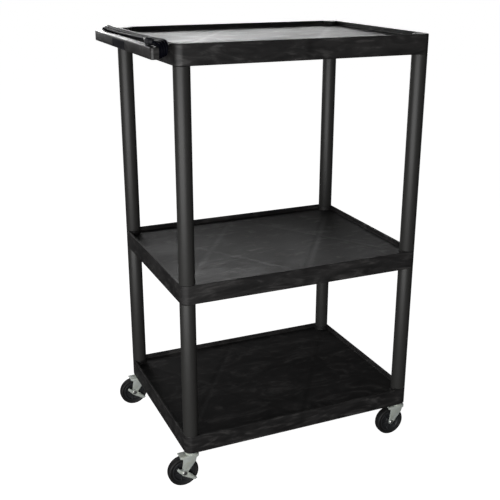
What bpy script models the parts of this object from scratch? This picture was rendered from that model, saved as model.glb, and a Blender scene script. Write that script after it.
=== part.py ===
"""Rolling utility cart: three moulded tray shelves on tube legs, four swivel casters, a push handle
moulded into the top shelf, and a mains cord wound round the handle's two arms.

Metres, +Z up, +X along the long side away from the handle, +Y towards the back.
The origin is on the floor under the middle of the cart, handle included.
"""
import math

import bmesh
import bpy
from mathutils import Matrix, Vector

# ---- driving dimensions ------------------------------------------------------------------------
GAP = 0.0003                    # clearance kept between touching pieces

SHELF_LENGTH = 0.8128           # 32 in
SHELF_DEPTH = 0.611             # 24 in
SHELF_HEIGHT = 0.060            # outer wall, bottom edge to rim
DECK_TOP = 0.0455               # deck surface above the shelf's bottom edge
DECK_THICKNESS = 0.005
RIM_WALL = 0.0085
SKIRT_WALL = 0.006
RIB_WIDTH = 0.004
RIB_BOTTOM = 0.016

BOTTOM_SHELF_Z = 0.117
MIDDLE_SHELF_Z = 0.6214
TOP_SHELF_Z = 1.3129

LEG_RADIUS = 0.0242             # tube legs; the shelf's corner posts carry the same radius
LEG_WALL = 0.0031
SPIGOT_LENGTH = 0.036
POST_BORE = 0.0155
TUBE_SIDES = 24

HANDLE_REACH = 0.0676           # from the shelf's left wall to the rail's outer face
RAIL_THICKNESS = 0.0225
RAIL_BOTTOM = 0.0205            # above the top shelf's bottom edge
RAIL_TOP = 0.053
RAIL_CORNER = 0.009
RAIL_EDGE = 0.006

CORD_DIAMETER = 0.0064
WRAPS = 4
WRAP_PITCH = 0.0067
FOLD_RADIUS = 0.0193            # centreline radius where the cord turns round an arm
WRAP_SLOPE = 0.398              # drop of the arms and of the wraps per metre of X
ARM_CLEARANCE = 0.0005

WHEEL_RADIUS = 0.050
WHEEL_HALF_WIDTH = 0.0125
TRAIL = 0.0297                  # axle behind the swivel axis
FORK_INNER = 0.0150
FORK_OUTER = 0.0172
AXLE_BOSS = 0.0088              # half the width of the fork plate at the axle
AXLE_RADIUS = 0.0040
CROWN_BOTTOM = 0.1040
CROWN_TOP = 0.1070
KINGPIN_RADIUS = 0.0060
STEM_RADIUS = 0.0078
STEM_TOP = 0.1600
LEVER_ANGLE = math.radians(-37)

# ---- worked out --------------------------------------------------------------------------------
CENTRE_X = HANDLE_REACH / 2
LEFT = CENTRE_X - SHELF_LENGTH / 2
RIGHT = CENTRE_X + SHELF_LENGTH / 2
FRONT = -SHELF_DEPTH / 2
BACK = SHELF_DEPTH / 2
LEG_X = (LEFT + LEG_RADIUS, RIGHT - LEG_RADIUS)
LEG_Y = (FRONT + LEG_RADIUS, BACK - LEG_RADIUS)
RAIL_OUTER = LEFT - HANDLE_REACH
RAIL_INNER = RAIL_OUTER + RAIL_THICKNESS
CORD_RADIUS = CORD_DIAMETER / 2
HANK_OUTER_X = RAIL_INNER + 0.0005
HANK_INNER_X = HANK_OUTER_X + WRAPS * WRAP_PITCH - (WRAP_PITCH - CORD_DIAMETER)
FIRST_WRAP_X = HANK_INNER_X - CORD_RADIUS
FOLD_Y = BACK - 0.0005 - FOLD_RADIUS - CORD_RADIUS
FIRST_WRAP_Z = TOP_SHELF_Z + 0.0490
CORNERS = {
    "front_left": (LEG_X[0], LEG_Y[0]),
    "front_right": (LEG_X[1], LEG_Y[0]),
    "rear_left": (LEG_X[0], LEG_Y[1]),
    "rear_right": (LEG_X[1], LEG_Y[1]),
}
BRAKED = ("front_left", "rear_left")

# the small plate on the handle, the outlets under the top deck at the handle end, and the cord
LABEL_DEPTH = 0.0010
LABEL_LOW = (-0.050, TOP_SHELF_Z + 0.0225)
LABEL_HIGH = (0.082, TOP_SHELF_Z + 0.0465)
BOX_LOW = Vector((LEFT + SKIRT_WALL + 0.0005, 0.118, TOP_SHELF_Z + 0.0080))
BOX_HIGH = Vector((LEFT + SKIRT_WALL + 0.0570, 0.2535, TOP_SHELF_Z + DECK_TOP - DECK_THICKNESS - GAP))
BOX_WALL = 0.002
GLAND_Y = 0.2445
GLAND_Z = TOP_SHELF_Z + 0.0297
NECK_RADIUS = 0.0045
OUTLET_COUNT = 3
OUTLET_PITCH = 0.034
OUTLET_SIZE = Vector((0.030, 0.028, 0.018))
OUTLET_X = (BOX_LOW.x + BOX_HIGH.x) / 2
OUTLET_Y = (BOX_LOW.y + BOX_HIGH.y) / 2
SCREW_Y = BOX_HIGH.y - 0.0095
SCREW_RADIUS = 0.0016
GLAND_X = LEFT - 0.0085
GLAND_BODY = (0.0155, 0.0180, 0.0190)
RELIEF_LENGTH = 0.030
GLAND_FRONT = GLAND_Y - GLAND_BODY[1] / 2
CORD_EXIT = Vector((GLAND_X, GLAND_FRONT - RELIEF_LENGTH, GLAND_Z))
LEAD_END_X = HANK_INNER_X + CORD_RADIUS + 0.0006
PLUG_X = RAIL_INNER - 0.0045
PLUG_Z = TOP_SHELF_Z + RAIL_TOP + GAP + 0.0100
PLUG_BACK = -0.224             # face that carries the prongs
PLUG_FRONT = -0.2575
PLUG_TAIL = -0.2705
TAIL_START = Vector((HANK_OUTER_X - CORD_RADIUS - 0.0004, -0.2900, TOP_SHELF_Z + RAIL_TOP + 0.0053))
BLADE_Z = PLUG_Z + 0.0035
EARTH_Z = PLUG_Z - 0.0058
LEVER_THICKNESS = 0.0022
BOLT_THREAD_END = FORK_OUTER + 0.0055


def wrap_height(x):
    """Height of the wraps' and the arms' middle line at x."""
    return FIRST_WRAP_Z + WRAP_SLOPE * (x - FIRST_WRAP_X)


# ---- scene -------------------------------------------------------------------------------------
for old in list(bpy.data.objects):
    bpy.data.objects.remove(old, do_unlink=True)

PARTS = bpy.data.collections.new("rolling_utility_cart")
CUTTERS = bpy.data.collections.new("cutters")
for group in (PARTS, CUTTERS):
    bpy.context.scene.collection.children.link(group)


def make_material(name, colour, roughness, metallic=0.0):
    material = bpy.data.materials.new(name)
    material.use_nodes = True
    shader = material.node_tree.nodes["Principled BSDF"]
    shader.inputs["Base Color"].default_value = (*colour, 1.0)
    shader.inputs["Roughness"].default_value = roughness
    shader.inputs["Metallic"].default_value = metallic
    return material


BLACK_PLASTIC = make_material("black_plastic", (0.035, 0.035, 0.036), 0.45)
LEG_PLASTIC = make_material("leg_plastic", (0.045, 0.045, 0.047), 0.38)
LABEL_PLASTIC = make_material("label_plastic", (0.02, 0.022, 0.035), 0.30)
OUTLET_PLASTIC = make_material("outlet_plastic", (0.05, 0.05, 0.052), 0.40)
CORD_RUBBER = make_material("cord_rubber", (0.03, 0.032, 0.045), 0.50)
ZINC_PLATE = make_material("zinc_plate", (0.62, 0.66, 0.60), 0.30, 1.0)
BRIGHT_STEEL = make_material("bright_steel", (0.75, 0.75, 0.73), 0.25, 1.0)
WHEEL_RUBBER = make_material("wheel_rubber", (0.02, 0.02, 0.02), 0.60)
HUB_PLASTIC = make_material("hub_plastic", (0.10, 0.10, 0.10), 0.50)


# ---- modelling helpers -------------------------------------------------------------------------
def link(name, mesh, group=CUTTERS):
    item = bpy.data.objects.new(name, mesh)
    group.objects.link(item)
    if group is CUTTERS:
        item.hide_render = True
        item.display_type = "WIRE"
    return item


def evaluated_mesh(item, matrix=Matrix()):
    """The item's mesh with its modifiers applied, welded, its flat faces whole and all facing outwards.
    The item is removed."""
    bpy.context.view_layer.update()
    graph = bpy.context.evaluated_depsgraph_get()
    mesh = bpy.data.meshes.new_from_object(item.evaluated_get(graph))
    mesh.transform(matrix @ item.matrix_world)
    work = bmesh.new()
    work.from_mesh(mesh)
    bmesh.ops.remove_doubles(work, verts=work.verts, dist=0.000005)
    bmesh.ops.dissolve_limit(work, angle_limit=0.0005, verts=work.verts, edges=work.edges)
    bmesh.ops.recalc_face_normals(work, faces=work.faces)
    work.to_mesh(mesh)
    work.free()
    bpy.data.objects.remove(item, do_unlink=True)
    return mesh


def box(low, high):
    mesh = bpy.data.meshes.new("box")
    work = bmesh.new()
    bmesh.ops.create_cube(work, size=1.0)
    size = Vector(high) - Vector(low)
    middle = (Vector(high) + Vector(low)) / 2
    bmesh.ops.scale(work, vec=size, verts=work.verts)
    bmesh.ops.translate(work, vec=middle, verts=work.verts)
    work.to_mesh(mesh)
    work.free()
    return link("box", mesh)


def cylinder(x, y, radius, z_low, z_high, sides=TUBE_SIDES):
    mesh = bpy.data.meshes.new("cylinder")
    work = bmesh.new()
    bmesh.ops.create_cone(work, cap_ends=True, segments=sides, radius1=radius, radius2=radius,
                          depth=z_high - z_low)
    bmesh.ops.translate(work, vec=(x, y, (z_low + z_high) / 2), verts=work.verts)
    work.to_mesh(mesh)
    work.free()
    return link("cylinder", mesh)


def arc(centre, radius, start, end, steps):
    """Points on a circle from angle start to angle end, in degrees."""
    points = []
    for step in range(steps + 1):
        angle = math.radians(start + (end - start) * step / steps)
        points.append((centre[0] + radius * math.cos(angle), centre[1] + radius * math.sin(angle)))
    return points


def rounded_outline(low, high, radius, steps=6):
    x0, y0 = low[0] + radius, low[1] + radius
    x1, y1 = high[0] - radius, high[1] - radius
    corners = (((x1, y1), 0), ((x0, y1), 90), ((x0, y0), 180), ((x1, y0), 270))
    points = []
    for centre, start in corners:
        points += arc(centre, radius, start, start + 90, steps)
    return points


ALONG_X = Matrix(((0, 0, 1, 0), (1, 0, 0, 0), (0, 1, 0, 0), (0, 0, 0, 1)))    # outline in Y, Z
ALONG_Y = Matrix(((1, 0, 0, 0), (0, 0, -1, 0), (0, 1, 0, 0), (0, 0, 0, 1)))   # outline in X, Z
ALONG_Z = Matrix()                                                            # outline in X, Y


def prism(outlines, low, high, direction=ALONG_Z):
    """Flat outlines, the first one outside and the others holes, thickened from low to high.

    Along Y the thickness runs from -high to -low, because an outline in X, Z is seen from the front.
    """
    curve = bpy.data.curves.new("outline", "CURVE")
    curve.dimensions = "2D"
    curve.fill_mode = "BOTH"
    curve.extrude = (high - low) / 2
    for outline in outlines:
        spline = curve.splines.new("POLY")
        spline.points.add(len(outline) - 1)
        spline.use_cyclic_u = True
        for point, (u, v) in zip(spline.points, outline):
            point.co = (u, v, 0.0, 1.0)
    item = link("outline", curve)
    item.location.z = (low + high) / 2
    return link("prism", evaluated_mesh(item, direction))


def turned(profile, sides=TUBE_SIDES, closed=False):
    """A profile of (radius, height) points, top to bottom, turned about Z."""
    mesh = bpy.data.meshes.new("turned")
    points = [(radius, 0.0, height) for radius, height in profile]
    edges = [(index, index + 1) for index in range(len(points) - 1)]
    if closed:
        edges.append((len(points) - 1, 0))
    mesh.from_pydata(points, edges, [])
    item = link("turned", mesh)
    screw = item.modifiers.new("turn", "SCREW")
    screw.axis = "Z"
    screw.steps = sides
    screw.render_steps = sides
    screw.use_merge_vertices = True
    screw.merge_threshold = 0.00001
    return link("turned", evaluated_mesh(item))


def combine(target, operation, tools):
    """Boolean the tools into the target one after the other; the tools are used up."""
    for tool in tools:
        step = target.modifiers.new(operation.lower(), "BOOLEAN")
        step.operation = operation
        step.object = tool
    result = link("combined", evaluated_mesh(target))
    for tool in tools:
        bpy.data.objects.remove(tool, do_unlink=True)
    return result


def cut(target, *tools):
    return combine(target, "DIFFERENCE", tools)


def join(target, *tools):
    return combine(target, "UNION", tools)


def overlap(target, *tools):
    return combine(target, "INTERSECT", tools)


def moved(item, matrix):
    item.data.transform(matrix)
    return item


def bevelled(item, width, segments, angle=60):
    bevel = item.modifiers.new("edges", "BEVEL")
    bevel.width = width
    bevel.segments = segments
    bevel.limit_method = "ANGLE"
    bevel.angle_limit = math.radians(angle)
    return link("bevelled", evaluated_mesh(item))


def place(name, item, material, location=(0, 0, 0), origin=(0, 0, 0), smooth=True):
    """Puts a finished item in the cart as a named part whose origin is at `origin` before the move."""
    mesh = evaluated_mesh(item)
    mesh.transform(Matrix.Translation(-Vector(origin)))
    return place_mesh(name, mesh, material, Vector(location) + Vector(origin), smooth)


def place_mesh(name, mesh, material, location, smooth=True):
    mesh.name = name
    mesh.materials.clear()
    mesh.materials.append(material)
    if smooth:
        mesh.shade_smooth()
        mesh.set_sharp_from_angle(angle=math.radians(35))
    part = link(name, mesh, PARTS)
    part.location = location
    return part


# ---- shelves -----------------------------------------------------------------------------------
def tray_cavity(wall, z_low, z_high):
    """The space inside the walls, its outline passing round the inner side of each corner post."""
    meet = math.degrees(math.acos((LEG_RADIUS - wall) / LEG_RADIUS))
    outline = []
    for quarter, corner in enumerate(("rear_right", "rear_left", "front_left", "front_right")):
        turn = 90 * quarter
        outline += arc(CORNERS[corner], LEG_RADIUS, turn - meet, turn + meet - 270, 11)
    return prism([outline], z_low, z_high)


def diagonal_ribs(clear=None):
    """Ribs under the deck: each half of the shelf has its two diagonals, ending inside the skirt."""
    top = DECK_TOP - DECK_THICKNESS / 2
    slope = math.atan2(SHELF_DEPTH, SHELF_LENGTH / 2)
    half_length = 0.37
    ribs = []
    for half in (-1, 1):
        for lean in (-slope, slope):
            rib = box((-half_length, -RIB_WIDTH / 2, RIB_BOTTOM), (half_length, RIB_WIDTH / 2, top))
            middle = Matrix.Translation((CENTRE_X + half * SHELF_LENGTH / 4, 0, 0))
            ribs.append(moved(rib, middle @ Matrix.Rotation(lean, 4, "Z")))
    web = join(ribs[0], *ribs[1:])
    inside = SKIRT_WALL / 2
    outline = rounded_outline((LEFT + inside, FRONT + inside), (RIGHT - inside, BACK - inside),
                              LEG_RADIUS - inside)
    web = overlap(web, prism([outline], 0.0, SHELF_HEIGHT))
    if clear:
        web = cut(web, box(*clear))
    return web


def shelf_blank(clear=None):
    """Tray with skirt, rim, corner posts and ribs, its bottom edge at z = 0."""
    outline = rounded_outline((LEFT, FRONT), (RIGHT, BACK), LEG_RADIUS)
    slab = bevelled(prism([outline], 0.0, SHELF_HEIGHT), 0.002, 1)
    recess = tray_cavity(RIM_WALL, DECK_TOP, SHELF_HEIGHT + 0.02)
    underside = tray_cavity(SKIRT_WALL, -0.02, DECK_TOP - DECK_THICKNESS)
    return join(cut(slab, recess, underside), diagonal_ribs(clear))


def spigots(z_low, z_high):
    radius = LEG_RADIUS - LEG_WALL - GAP
    return [cylinder(x, y, radius, z_low, z_high) for x, y in CORNERS.values()]


def post_bores(radius, z_low, z_high):
    return [cylinder(x, y, radius, z_low, z_high, 16) for x, y in CORNERS.values()]


def bottom_shelf():
    shelf = join(shelf_blank(), *spigots(SHELF_HEIGHT - 0.004, SHELF_HEIGHT + SPIGOT_LENGTH))
    stem_bore = STEM_TOP - BOTTOM_SHELF_Z + 0.002
    shelf = cut(shelf, *post_bores(STEM_RADIUS + GAP, -0.01, stem_bore))
    place("bottom_shelf", shelf, BLACK_PLASTIC, (0, 0, BOTTOM_SHELF_Z))


def middle_shelf():
    shelf = join(shelf_blank(), *spigots(SHELF_HEIGHT - 0.004, SHELF_HEIGHT + SPIGOT_LENGTH))
    shelf = join(shelf, *spigots(-SPIGOT_LENGTH, 0.004))
    shelf = cut(shelf, *post_bores(POST_BORE, -0.1, 0.2))
    place("middle_shelf", shelf, BLACK_PLASTIC, (0, 0, MIDDLE_SHELF_Z))


# ---- handle, moulded with the top shelf ----------------------------------------------------------
def handle_rail():
    """Upright rail, rounded at its two outer corners and along its upper outer edge."""
    low, high = TOP_SHELF_Z + RAIL_BOTTOM, TOP_SHELF_Z + RAIL_TOP
    corners = arc((RAIL_OUTER + RAIL_CORNER, FRONT + RAIL_CORNER), RAIL_CORNER, 270, 180, 6)
    corners += arc((RAIL_OUTER + RAIL_CORNER, BACK - RAIL_CORNER), RAIL_CORNER, 180, 90, 6)
    plan = [(RAIL_INNER, BACK), (RAIL_INNER, FRONT)] + corners
    section = [(RAIL_INNER, high), (RAIL_INNER, low), (RAIL_OUTER, low)]
    section += arc((RAIL_OUTER + RAIL_EDGE, high - RAIL_EDGE), RAIL_EDGE, 180, 90, 4)
    rail = overlap(prism([plan], low - 0.01, high + 0.01),
                   prism([section], FRONT - 0.01, BACK + 0.01, ALONG_Y))
    label_pocket = box((RAIL_OUTER - 0.01, *LABEL_LOW), (RAIL_OUTER + LABEL_DEPTH, *LABEL_HIGH))
    return cut(rail, label_pocket)


def handle_arm(side):
    """Arm that the cord is wound round: a round nose towards the end of the handle, sloping down
    to the rail. side is -1 at the front and 1 at the back."""
    radius = FOLD_RADIUS - CORD_RADIUS - ARM_CLEARANCE
    start = 90 if side > 0 else -90
    nose = arc((side * FOLD_Y, 0.0), radius, start, start - side * 180, 12)
    heel = side * (FOLD_Y - 0.020)
    outline = nose + [(heel, -side * radius if side > 0 else radius), (heel, radius if side > 0 else -radius)]
    arm = prism([outline], RAIL_INNER - 0.002, LEFT + 0.004, ALONG_X)
    for vertex in arm.data.vertices:
        vertex.co.z += wrap_height(vertex.co.x)
    top = wrap_height(HANK_INNER_X) + radius
    arm = overlap(arm, box((RAIL_OUTER, -1, 0), (LEFT + 0.1, 1, top)))
    return cut(arm, box((HANK_INNER_X + 0.0008, -1, TOP_SHELF_Z + 0.0585), (LEFT + 0.1, 1, top + 0.1)))


def handle_label():
    rim = 0.0004
    plate = box((RAIL_OUTER + 0.0002, LABEL_LOW[0] + rim, LABEL_LOW[1] + rim),
                (RAIL_OUTER + LABEL_DEPTH - GAP / 2, LABEL_HIGH[0] - rim, LABEL_HIGH[1] - rim))
    place("handle_label", plate, LABEL_PLASTIC, smooth=False)


# ---- outlets ------------------------------------------------------------------------------------
def outlet_centres():
    middle = (OUTLET_COUNT - 1) / 2
    return [OUTLET_Y + (index - middle) * OUTLET_PITCH for index in range(OUTLET_COUNT)]


def outlet_box():
    shell = cut(box(BOX_LOW, BOX_HIGH),
                box(BOX_LOW + Vector((BOX_WALL, BOX_WALL, -0.01)),
                    BOX_HIGH - Vector((BOX_WALL, BOX_WALL, BOX_WALL))))
    boss = cylinder(OUTLET_X, SCREW_Y, 0.0045, BOX_LOW.z, BOX_HIGH.z - BOX_WALL / 2, 16)
    hole = cylinder(OUTLET_X, SCREW_Y, SCREW_RADIUS + GAP, BOX_LOW.z - 0.01, BOX_LOW.z + 0.013, 12)
    neck_hole = moved(cylinder(0, 0, NECK_RADIUS + GAP, -0.01, 0.01, 16),
                      Matrix.Translation((BOX_LOW.x, GLAND_Y, GLAND_Z)) @ ALONG_X)
    place("outlet_box", cut(join(shell, boss), neck_hole, hole), OUTLET_PLASTIC)


def outlet_plate():
    """Cover with a tongue that hooks into the box at one end and a screw at the other."""
    top = BOX_LOW.z - GAP
    outline = rounded_outline((BOX_LOW.x, BOX_LOW.y), (BOX_HIGH.x, BOX_HIGH.y), 0.003, 3)
    plate = prism([outline], top - 0.002, top)
    tongue_y = BOX_LOW.y + BOX_WALL + GAP
    tongue = box((OUTLET_X - 0.006, tongue_y, top - 0.001), (OUTLET_X + 0.006, tongue_y + 0.0015, top + 0.006))
    reach = OUTLET_SIZE / 2 + Vector((GAP, GAP, 0.01))
    windows = [box(Vector((OUTLET_X, y, top)) - reach, Vector((OUTLET_X, y, top)) + reach)
               for y in outlet_centres()]
    hole = cylinder(OUTLET_X, SCREW_Y, SCREW_RADIUS + GAP, top - 0.01, top + 0.01, 12)
    place("outlet_plate", cut(join(plate, tongue), hole, *windows), OUTLET_PLASTIC)


def receptacles():
    """Insulating blocks with two blade slots and a round earth hole in their lower faces."""
    low = BOX_LOW.z - GAP - 0.0028
    for number, y in enumerate(outlet_centres(), 1):
        block = bevelled(box((OUTLET_X - OUTLET_SIZE.x / 2, y - OUTLET_SIZE.y / 2, low),
                             (OUTLET_X + OUTLET_SIZE.x / 2, y + OUTLET_SIZE.y / 2, low + OUTLET_SIZE.z)),
                         0.001, 1)
        slots = [box((OUTLET_X + 0.001, y + side * 0.00635 - 0.001, low - 0.01),
                     (OUTLET_X + 0.009, y + side * 0.00635 + 0.001, low + 0.012)) for side in (-1, 1)]
        earth = cylinder(OUTLET_X - 0.0069, y, 0.0025, low - 0.01, low + 0.012, 16)
        place(f"outlet_receptacle_{number}", cut(block, earth, *slots), OUTLET_PLASTIC)


def plate_screw():
    seat = BOX_LOW.z - GAP - 0.002 - GAP
    profile = [(0.0, seat + 0.0130), (SCREW_RADIUS, seat + 0.0125), (SCREW_RADIUS, seat), (0.0032, seat),
               (0.0029, seat - 0.0014), (0.0016, seat - 0.0019), (0.0, seat - 0.0020)]
    screw = moved(turned(profile, 16), Matrix.Translation((OUTLET_X, SCREW_Y, 0)))
    slot = box((OUTLET_X - 0.004, SCREW_Y - 0.0004, seat - 0.004),
               (OUTLET_X + 0.004, SCREW_Y + 0.0004, seat - 0.0011))
    place("outlet_plate_screw", cut(screw, slot), BRIGHT_STEEL)


# ---- cord: gland, lead, hank, tail and plug --------------------------------------------------------
def strain_relief():
    """Block outside the wall, its neck through the wall, and a tapered sleeve towards the front."""
    body_low = Vector((LEFT - GAP - GLAND_BODY[0], GLAND_FRONT, GLAND_Z - GLAND_BODY[2] / 2))
    body_high = Vector((LEFT - GAP, GLAND_Y + GLAND_BODY[1] / 2, GLAND_Z + GLAND_BODY[2] / 2))
    body = bevelled(box(body_low, body_high), 0.002, 2)
    neck = moved(cylinder(0, 0, NECK_RADIUS, 0, SKIRT_WALL + 0.006, 16),
                 Matrix.Translation((LEFT - 0.003, GLAND_Y, GLAND_Z)) @ ALONG_X)
    rings = 4
    sleeve = [(0.0, 0.002)]
    for ring in range(rings):
        radius = 0.0062 - 0.0020 * ring / (rings - 1)
        start = -RELIEF_LENGTH * ring / rings
        sleeve += [(radius, start + 0.002 if ring == 0 else start),
                   (radius, start - 0.72 * RELIEF_LENGTH / rings),
                   (radius - 0.0009, start - 0.74 * RELIEF_LENGTH / rings),
                   (radius - 0.0009, start - 0.98 * RELIEF_LENGTH / rings)]
    sleeve += [(0.0, -0.98 * RELIEF_LENGTH)]
    towards_front = Matrix.Translation((GLAND_X, GLAND_FRONT, GLAND_Z)) @ Matrix.Rotation(math.pi / 2, 4, "X")
    tail = moved(turned(sleeve, 12), towards_front @ Matrix.Scale(-1, 4, (0, 0, 1)))
    work = bmesh.new()
    work.from_mesh(tail.data)
    bmesh.ops.recalc_face_normals(work, faces=work.faces)
    work.to_mesh(tail.data)
    work.free()
    place("cord_strain_relief", join(body, neck, tail), CORD_RUBBER)


def smooth_route(points, spacing):
    """Points every `spacing` along a Catmull-Rom curve through the given points."""
    path = [Vector(point) for point in points]
    path = [2 * path[0] - path[1]] + path + [2 * path[-1] - path[-2]]
    dense = []
    for before, start, end, after in zip(path, path[1:], path[2:], path[3:]):
        for step in range(24):
            t = step / 24
            dense.append(0.5 * (2 * start + (end - before) * t
                                + (2 * before - 5 * start + 4 * end - after) * t ** 2
                                + (3 * start - before - 3 * end + after) * t ** 3))
    dense.append(path[-2])
    route = [dense[0]]
    for point in dense[1:-1]:
        if (point - route[-1]).length >= spacing:
            route.append(point)
    if (dense[-1] - route[-1]).length < spacing / 2:
        route.pop()
    return route + [dense[-1]]


def cord_tube(name, points, spacing=2.5 * CORD_DIAMETER):
    curve = bpy.data.curves.new(name, "CURVE")
    curve.dimensions = "3D"
    curve.bevel_depth = CORD_RADIUS
    curve.bevel_resolution = 2
    curve.use_fill_caps = True
    route = smooth_route(points, spacing)
    spline = curve.splines.new("POLY")
    spline.points.add(len(route) - 1)
    for point, place_at in zip(spline.points, route):
        point.co = (*place_at, 1.0)
    part = link(name, curve, PARTS)
    curve.materials.append(CORD_RUBBER)
    return part


def cord_hank():
    """Closed band of the wound cord's outer shape, round both arms. The outermost turn ends at the
    front and goes into the plug, so the band is narrower beside the plug."""
    outlines = []
    for radius in (FOLD_RADIUS + CORD_RADIUS, FOLD_RADIUS - CORD_RADIUS):
        outlines.append(arc((FOLD_Y, 0), radius, 90, -90, 12) + arc((-FOLD_Y, 0), radius, 270, 90, 12))
    band = prism(outlines, HANK_OUTER_X, HANK_INNER_X, ALONG_X)
    for vertex in band.data.vertices:
        vertex.co.z += wrap_height(vertex.co.x)
    beside_plug = box((HANK_OUTER_X - 0.01, -FOLD_Y, FIRST_WRAP_Z - 0.002),
                      (HANK_OUTER_X + WRAP_PITCH - 0.0006, PLUG_BACK + 0.030, FIRST_WRAP_Z + 0.1))
    place("cord_hank", cut(band, beside_plug), CORD_RUBBER)


def cord_lead():
    cord_tube("cord_lead", (CORD_EXIT,
                            CORD_EXIT + Vector((0.0, -0.020, 0.0)),
                            (CORD_EXIT.x - 0.0020, CORD_EXIT.y - 0.050, GLAND_Z - 0.0010),
                            (LEAD_END_X, CORD_EXIT.y - 0.100, GLAND_Z - 0.0010),
                            (LEAD_END_X, CORD_EXIT.y - 0.130, GLAND_Z - 0.0010)))


def cord_tail():
    plug_end = Vector((PLUG_X, PLUG_TAIL - 0.0006, PLUG_Z))
    cord_tube("cord_tail", (TAIL_START,
                            TAIL_START + Vector((-0.0004, 0.0040, 0.0012)),
                            plug_end - Vector((0.0, 0.0080, 0.0)),
                            plug_end), 1.2 * CORD_DIAMETER)


def plug_section(y, width, height, radius):
    """Ring of points of a rounded rectangle across the plug at y."""
    outline = rounded_outline((-width / 2, -height / 2), (width / 2, height / 2), radius, 3)
    return [Vector((PLUG_X + u, y, PLUG_Z + v)) for u, v in outline]


def power_plug():
    """Moulded body that narrows to a ribbed tail where the cord enters."""
    sections = [(PLUG_BACK, 0.0190, 0.0180, 0.005), (PLUG_BACK - 0.0012, 0.0215, 0.0200, 0.006),
                (PLUG_BACK - 0.0100, 0.0215, 0.0200, 0.006), (PLUG_BACK - 0.0160, 0.0190, 0.0185, 0.006),
                (PLUG_BACK - 0.0260, 0.0205, 0.0195, 0.007), (PLUG_FRONT + 0.0030, 0.0170, 0.0160, 0.007),
                (PLUG_FRONT, 0.0120, 0.0115, 0.0055), (PLUG_FRONT - 0.0060, 0.0105, 0.0105, 0.0050),
                (PLUG_TAIL + 0.0060, 0.0088, 0.0088, 0.0042), (PLUG_TAIL, 0.0078, 0.0078, 0.0037)]
    work = bmesh.new()
    rings = [[work.verts.new(point) for point in plug_section(*section)] for section in sections]
    count = len(rings[0])
    for first, second in zip(rings, rings[1:]):
        for index in range(count):
            after = (index + 1) % count
            work.faces.new((first[index], first[after], second[after], second[index]))
    work.faces.new(rings[0])
    work.faces.new(list(reversed(rings[-1])))
    bmesh.ops.recalc_face_normals(work, faces=work.faces)
    mesh = bpy.data.meshes.new("power_plug")
    work.to_mesh(mesh)
    work.free()
    body = link("power_plug", mesh)
    slots = [box((PLUG_X + side * 0.00635 - 0.0011, PLUG_BACK - 0.005, BLADE_Z - 0.0035),
                 (PLUG_X + side * 0.00635 + 0.0011, PLUG_BACK + 0.010, BLADE_Z + 0.0035)) for side in (-1, 1)]
    earth = moved(cylinder(0, 0, 0.0027, -0.005, 0.010, 12),
                  Matrix.Translation((PLUG_X, PLUG_BACK, EARTH_Z)) @ Matrix.Rotation(-math.pi / 2, 4, "X"))
    place("power_plug", cut(body, earth, *slots), CORD_RUBBER)


def plug_prongs():
    for name, side in (("plug_blade_left", -1), ("plug_blade_right", 1)):
        blade = box((PLUG_X + side * 0.00635 - 0.0008, PLUG_BACK - 0.0047, BLADE_Z - 0.0032),
                    (PLUG_X + side * 0.00635 + 0.0008, PLUG_BACK + 0.0165, BLADE_Z + 0.0032))
        hole = moved(cylinder(0, 0, 0.0014, -0.01, 0.01, 12),
                     Matrix.Translation((PLUG_X + side * 0.00635, PLUG_BACK + 0.0125, BLADE_Z)) @ ALONG_X)
        place(name, cut(blade, hole), BRIGHT_STEEL, smooth=False)
    pin = [(0.0, 0.0185), (0.0012, 0.0180), (0.0022, 0.0160), (0.0024, 0.0130), (0.0024, -0.0047),
           (0.0, -0.0047)]
    earth = moved(turned(pin, 16),
                  Matrix.Translation((PLUG_X, PLUG_BACK, EARTH_Z)) @ Matrix.Rotation(-math.pi / 2, 4, "X"))
    place("plug_earth_pin", earth, BRIGHT_STEEL)


def top_shelf():
    margin = 0.002
    clear = (BOX_LOW - Vector((0.01, margin, TOP_SHELF_Z)), BOX_HIGH + Vector((margin, margin, -TOP_SHELF_Z)))
    blank = join(shelf_blank(clear), *spigots(-SPIGOT_LENGTH, 0.004))
    blank = cut(blank, *post_bores(POST_BORE, -0.1, DECK_TOP))
    shelf = moved(blank, Matrix.Translation((0, 0, TOP_SHELF_Z)))
    shelf = join(shelf, handle_arm(-1), handle_arm(1))
    shelf = join(shelf, handle_rail())
    neck_hole = moved(cylinder(0, 0, NECK_RADIUS + GAP, -0.02, 0.004 + SKIRT_WALL, 16),
                      Matrix.Translation((LEFT, GLAND_Y, GLAND_Z)) @ ALONG_X)
    place("top_shelf", cut(shelf, neck_hole), BLACK_PLASTIC)


# ---- legs --------------------------------------------------------------------------------------
def legs():
    spans = {"lower_leg": (BOTTOM_SHELF_Z + SHELF_HEIGHT, MIDDLE_SHELF_Z),
             "upper_leg": (MIDDLE_SHELF_Z + SHELF_HEIGHT, TOP_SHELF_Z)}
    inside = LEG_RADIUS - LEG_WALL
    for name, (low, high) in spans.items():
        low, high = low + GAP, high - GAP
        tube = turned([(LEG_RADIUS, high), (LEG_RADIUS, low), (inside, low), (inside, high)], TUBE_SIDES, True)
        mesh = evaluated_mesh(tube)
        for corner, (x, y) in CORNERS.items():
            place_mesh(f"{name}_{corner}", mesh, LEG_PLASTIC, (x, y, 0))


# ---- casters, modelled with the swivel axis on Z and the axle at x = -TRAIL ------------------------
ABOUT_AXLE = Matrix.Translation((-TRAIL, 0, WHEEL_RADIUS)) @ Matrix.Rotation(math.pi / 2, 4, "X")


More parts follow.
